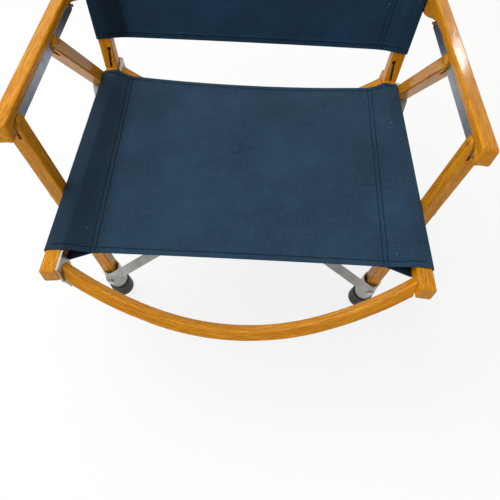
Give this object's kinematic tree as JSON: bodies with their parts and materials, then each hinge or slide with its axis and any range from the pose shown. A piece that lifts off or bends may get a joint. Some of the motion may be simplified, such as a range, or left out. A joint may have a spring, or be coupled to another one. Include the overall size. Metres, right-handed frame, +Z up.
{
  "type": "folding chair",
  "caption": "Low folding armchair of square oak stock with outward leaning side frames, bent wooden bows, crossing flat straps and navy canvas seat and back slings.",
  "frame": {"origin": "on the floor, midway between the chair's outermost points to the left and right and to the front and back", "axes": "+Z up, the chair faces -Y, +X to the right of someone who stands in front of the chair and looks at it; left and right in the node names are that person's"},
  "size_m": [0.5432, 0.625, 0.6248],
  "materials": {
    "oak": "glossy honey lacquer",
    "canvas": "matt woven canvas",
    "aluminium": "satin",
    "steel": "bright",
    "foot_rubber": "matt"
  },
  "bodies": {
    "frame": {"bow_bracket_screws": "steel", "front_bow": "oak", "front_bow_bracket": "aluminium", "front_bow_hinge_pin": "steel", "front_bow_peg": "oak", "front_crossing_rivet": "steel", "front_strap_rivets": "steel", "front_strap_spacers": "aluminium", "front_strap_to_left": "aluminium", "front_strap_to_right": "aluminium", "left_front_arm_pin": "steel", "left_front_foot": "foot_rubber", "left_front_leg": "oak", "left_front_socket": "aluminium", "left_post_tongue": "aluminium", "left_rear_arm_pin": "steel", "left_rear_foot": "foot_rubber", "left_rear_leg": "oak", "left_rear_socket": "aluminium", "left_seat_rail": "oak", "left_strap_lug": "aluminium", "leg_bolts": "steel", "leg_nuts": "steel", "leg_washers": "steel", "lug_bolts": "steel", "lug_nuts": "steel", "rear_bow": "oak", "rear_bow_bracket": "aluminium", "rear_bow_hinge_pin": "steel", "rear_bow_peg": "oak", "rear_crossing_rivet": "steel", "rear_strap_rivets": "steel", "rear_strap_spacers": "aluminium", "rear_strap_to_left": "aluminium", "rear_strap_to_right": "aluminium", "right_front_arm_pin": "steel", "right_front_foot": "foot_rubber", "right_front_leg": "oak", "right_front_socket": "aluminium", "right_post_tongue": "aluminium", "right_rear_arm_pin": "steel", "right_rear_foot": "foot_rubber", "right_rear_leg": "oak", "right_rear_socket": "aluminium", "right_seat_rail": "oak", "right_strap_lug": "aluminium", "seat_sling": "canvas"},
    "left_arm_body": {"left_arm": "oak", "left_arm_strip": "aluminium", "left_arm_strip_rivets": "steel"},
    "right_arm_body": {"right_arm": "oak", "right_arm_strip": "aluminium", "right_arm_strip_rivets": "steel"},
    "backrest": {"left_back_post": "oak", "right_back_post": "oak", "back_sling": "canvas"}
  },
  "joints": [
    {"name": "left_arm_lift", "type": "hinge", "parent": "frame", "child": "left_arm_body", "pos_m": [-0.24911, -0.1643, 0.3823], "axis": [0.9903, 0, 0.1392], "range_deg": [0, 40]},
    {"name": "right_arm_lift", "type": "hinge", "parent": "frame", "child": "right_arm_body", "pos_m": [0.24911, -0.1643, 0.3823], "axis": [0.9903, 0, -0.1392], "range_deg": [0, 40]},
    {"name": "backrest_lift", "type": "slide", "parent": "frame", "child": "backrest", "axis": [0, 0.2099, 0.9777], "range_m": [0, 0.05]}
  ]
}
